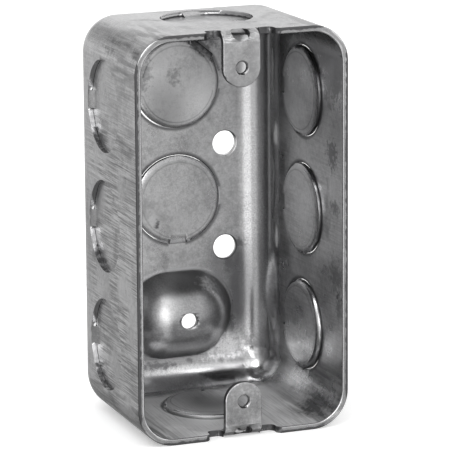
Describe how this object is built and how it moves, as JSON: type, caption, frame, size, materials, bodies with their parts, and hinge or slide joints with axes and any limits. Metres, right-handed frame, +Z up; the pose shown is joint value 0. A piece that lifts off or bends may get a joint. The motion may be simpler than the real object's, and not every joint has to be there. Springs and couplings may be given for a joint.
{
  "type": "handy box",
  "caption": "Narrow one-piece drawn steel outlet box with an open face, bent-in tapped ears, pressed-in knockouts, a raised ground seat and round mounting holes.",
  "frame": {"origin": "midway between the two tapped ear holes, on the front faces of the ears", "axes": "+Z up along the box's length, +Y from the opening to the back wall, +X to the right seen from the open side; the box stands on its lower end wall as pictured"},
  "size_m": [0.0554, 0.0476, 0.1016],
  "materials": {
    "steel": "galvanised sheet, mottled grey with drawing marks and light scratches"
  },
  "bodies": {
    "root": {"handy_box": "steel"}
  },
  "joints": []
}
